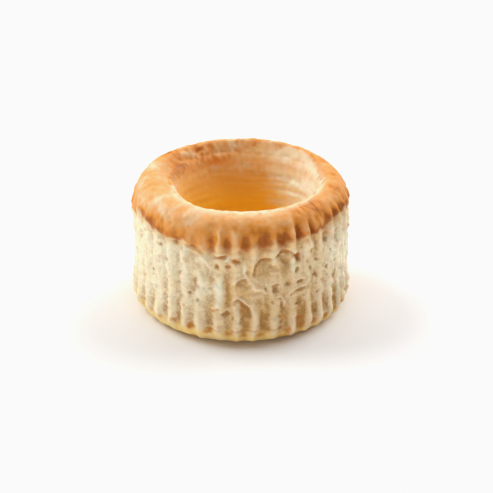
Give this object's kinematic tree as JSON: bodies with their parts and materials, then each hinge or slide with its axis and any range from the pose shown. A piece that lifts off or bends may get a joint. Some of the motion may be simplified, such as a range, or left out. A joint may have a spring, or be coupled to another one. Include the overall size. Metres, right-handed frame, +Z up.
{
  "type": "vol-au-vent shell",
  "caption": "Round baked puff pastry shell with a fluted, craggy side, a browned top crust and a deep open hollow for a filling.",
  "frame": {"origin": "middle of the base, on the plane the shell stands on", "axes": "+Z up out of the mouth; -Y towards the side the picture shows; +X to the right of that side"},
  "size_m": [0.081, 0.081, 0.049],
  "materials": {
    "pastry": "dry, matt, flaky crust"
  },
  "bodies": {
    "root": {"pastry_shell": "pastry"}
  },
  "joints": []
}
